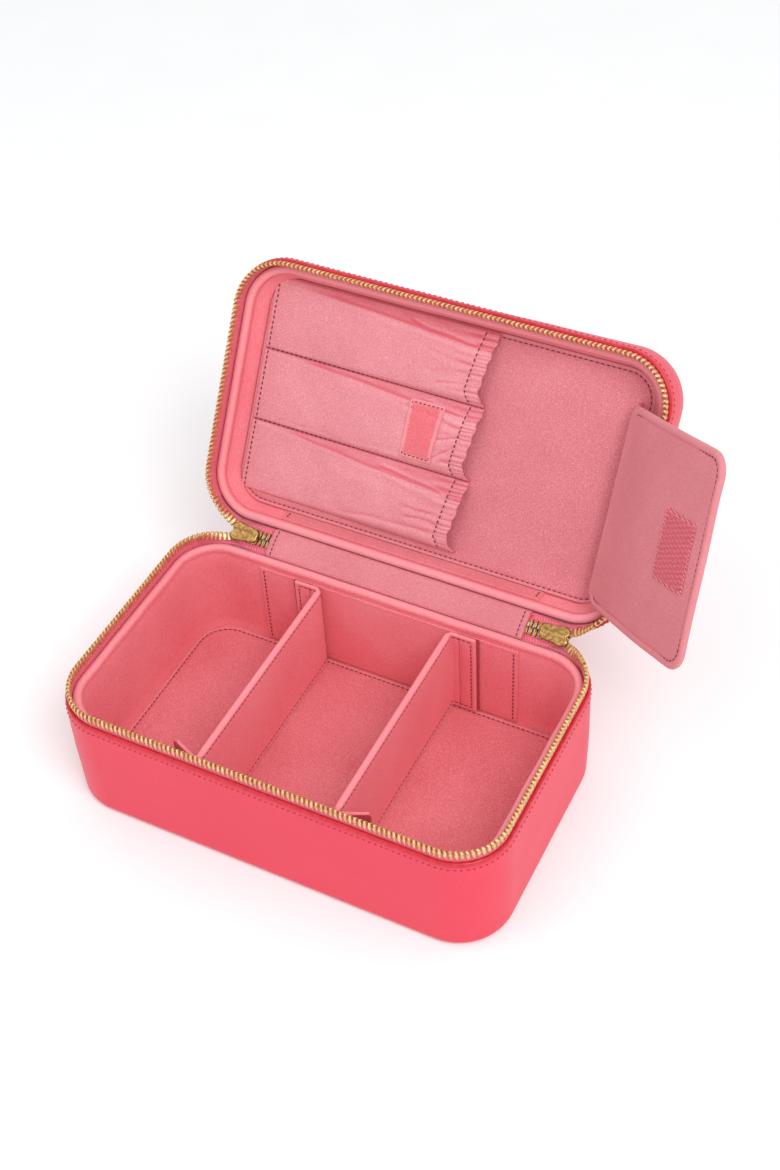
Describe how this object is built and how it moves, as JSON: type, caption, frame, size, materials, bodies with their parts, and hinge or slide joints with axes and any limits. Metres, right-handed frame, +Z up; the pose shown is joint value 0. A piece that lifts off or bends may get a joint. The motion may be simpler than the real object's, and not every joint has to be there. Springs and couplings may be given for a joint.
{
  "type": "makeup train case",
  "caption": "Zip-around rectangular vanity case with padded lining, lift-out dividers, and a lid with brush sleeves, a covering flap and a folding hinge strip.",
  "frame": {"origin": "centre of the base's underside", "axes": "+X along the length to the right, -Y towards the front, +Z up; the lid is stored open"},
  "size_m": [0.2739, 0.2368, 0.1933],
  "materials": {
    "leather": "satin pebbled imitation leather",
    "lining": "soft satin padded imitation leather",
    "flap_leather": "matte imitation leather",
    "binding": "gloss cut-edge binding",
    "zip_tape": "herringbone woven tape",
    "elastic": "ribbed elastic",
    "hook_fabric": "hook and loop pile",
    "foam": "soft padding",
    "board": "plain paperboard",
    "brass": "pale polished metal"
  },
  "bodies": {
    "base": {"base_leather_shell": "leather", "base_stiffener": "board", "base_lining_wall": "lining", "base_rim_roll": "lining", "base_floor_pad": "lining", "base_back_lining": "lining", "base_edge_binding": "binding", "base_zip_tape": "zip_tape", "base_zip_teeth": "brass"},
    "hinge_strip": {"hinge_leather": "leather", "hinge_lining": "lining", "slider_left_body": "brass", "slider_left_chain": "brass", "slider_right_body": "brass", "slider_right_chain": "brass"},
    "lid": {"lid_leather_shell": "leather", "lid_stiffener": "board", "lid_foam": "foam", "lid_lining_wall": "lining", "lid_rim_roll": "lining", "lid_back_lining": "lining", "lid_edge_binding": "binding", "lid_zip_tape": "zip_tape", "lid_zip_teeth": "brass", "pocket_panel": "lining", "brush_pocket_front": "lining", "brush_pocket_middle": "lining", "brush_pocket_back": "lining", "pocket_elastics": "elastic", "loop_patch": "hook_fabric", "flap_root": "flap_leather"},
    "brush_flap": {"flap_roll": "flap_leather", "flap_cover": "flap_leather", "flap_board": "board", "flap_edging": "lining", "flap_hook_patch": "hook_fabric"},
    "divider_left": {"divider_left_cover": "lining", "divider_left_board": "board", "divider_left_hooks": "hook_fabric"},
    "divider_right": {"divider_right_cover": "lining", "divider_right_board": "board", "divider_right_hooks": "hook_fabric"},
    "pull_left": {"slider_left_pull": "brass"},
    "pull_right": {"slider_right_pull": "brass"}
  },
  "joints": [
    {"name": "base_fold", "type": "hinge", "parent": "base", "child": "hinge_strip", "pos_m": [0, 0.0662, 0.06163], "axis": [-1, 0, 0], "range_deg": [-60.5, 0]},
    {"name": "lid_fold", "type": "hinge", "parent": "hinge_strip", "child": "lid", "pos_m": [0, 0.07903, 0.06889], "axis": [-1, 0, 0], "range_deg": [-60.5, 0]},
    {"name": "flap_fold", "type": "hinge", "parent": "lid", "child": "brush_flap", "pos_m": [0.0965, 0.11298, 0.12047], "axis": [0, 0.515, 0.8572], "range_deg": [-130, 0]},
    {"name": "divider_left_lift", "type": "slide", "parent": "base", "child": "divider_left", "axis": [0, 0, 1], "range_m": [0, 0.058]},
    {"name": "divider_right_lift", "type": "slide", "parent": "base", "child": "divider_right", "axis": [0, 0, 1], "range_m": [0, 0.058]},
    {"name": "pull_left_swing", "type": "hinge", "parent": "hinge_strip", "child": "pull_left", "pos_m": [-0.0869, 0.07557, 0.06003], "axis": [1, 0, 0], "range_deg": [-12, 68]},
    {"name": "pull_right_swing", "type": "hinge", "parent": "hinge_strip", "child": "pull_right", "pos_m": [0.0869, 0.07557, 0.06003], "axis": [1, 0, 0], "range_deg": [-12, 68]}
  ]
}
